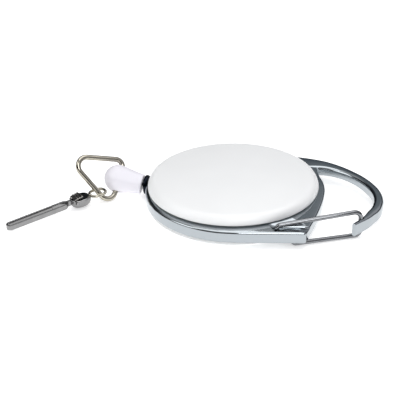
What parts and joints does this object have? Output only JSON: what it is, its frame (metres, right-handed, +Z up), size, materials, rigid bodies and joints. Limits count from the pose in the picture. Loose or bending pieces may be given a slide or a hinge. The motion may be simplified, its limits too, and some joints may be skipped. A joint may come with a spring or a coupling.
{
  "type": "retractable badge reel",
  "caption": "Round spring-return badge reel set in a cast carabiner frame with a wire gate; its cord ends in a stopper, a triangle ring and a swivel clip with a thumb lever.",
  "frame": {"origin": "on the spool's axis, in the plane of the back cover's flat rest face", "axes": "+X to the carabiner's hook, -X the way the cord is pulled, +Z up through the front cover"},
  "size_m": [0.0941, 0.05, 0.012],
  "materials": {
    "chromed_casting": "polished",
    "white_abs": "satin gloss",
    "gate_spring_wire": "drawn, plated",
    "dark_ferrule": "polished",
    "plated_steel": "satin",
    "black_acetal": "matte",
    "spring_steel": "blued",
    "braided_cord": "braided",
    "stopper_plastic": "satin",
    "nickel_wire": "bright nickel",
    "nickel_sheet": "stamped, nickel plated"
  },
  "bodies": {
    "case": {"carabiner_frame": "chromed_casting", "front_cover": "white_abs", "back_cover": "white_abs", "case_screw": "plated_steel", "spring_arbor": "plated_steel", "cord_eyelet": "dark_ferrule", "cord_run": "braided_cord"},
    "gate": {"gate_wire": "gate_spring_wire"},
    "reel": {"cord_spool": "black_acetal", "spring_cover": "black_acetal", "mainspring": "spring_steel", "wound_cord": "braided_cord"},
    "pull": {"cord_stopper": "stopper_plastic", "cord_knot": "braided_cord"},
    "ring": {"triangle_ring": "nickel_wire"},
    "eye": {"swivel_eye": "nickel_wire"},
    "clip": {"clip_hook": "nickel_sheet", "lever_pin": "plated_steel", "lever_spring": "spring_steel"},
    "lever": {"thumb_lever": "nickel_sheet"}
  },
  "joints": [
    {"name": "gate_swing", "type": "hinge", "parent": "case", "child": "gate", "pos_m": [0.0149, -0.0199, 0.0035], "axis": [0, 0, 1], "range_deg": [0, 24], "stiffness_Nm_per_rad": 0.08, "springref_deg": -5.73},
    {"name": "cord_pull", "type": "slide", "parent": "case", "child": "pull", "axis": [-1, 0, 0], "range_m": [0, 0.7], "stiffness_N_per_m": 1.2, "springref_m": -0.4, "deforming": ["cord_run"]},
    {"name": "spool_spin", "type": "hinge", "parent": "case", "child": "reel", "pos_m": [0, 0, 0.0036], "axis": [0, 0, 1], "range_deg": [0, 2760], "deforming": ["mainspring"]},
    {"name": "ring_swing", "type": "hinge", "parent": "pull", "child": "ring", "pos_m": [-0.03087, 0, 0.00458], "axis": [0.1411, 0.6951, 0.705], "range_deg": [-60, 60]},
    {"name": "eye_swing", "type": "hinge", "parent": "ring", "child": "eye", "pos_m": [-0.03522, -0.00542, 0.00283], "axis": [0.6461, -0.0134, -0.7631], "range_deg": [-30, 30]},
    {"name": "clip_spin", "type": "hinge", "parent": "eye", "child": "clip", "pos_m": [-0.03793, -0.00832, 0.00259], "axis": [-0.6842, -0.7261, -0.068], "continuous": true},
    {"name": "lever_press", "type": "hinge", "parent": "clip", "child": "lever", "pos_m": [-0.04026, -0.0108, 0.00246], "axis": [-0.7278, 0.6858, 0], "range_deg": [0, 8], "stiffness_Nm_per_rad": 0.02, "springref_deg": -5.73, "deforming": ["lever_spring"]}
  ],
  "couplings": [
    {"joint": "spool_spin", "follows": "cord_pull", "rad_per_m": 68.5}
  ]
}
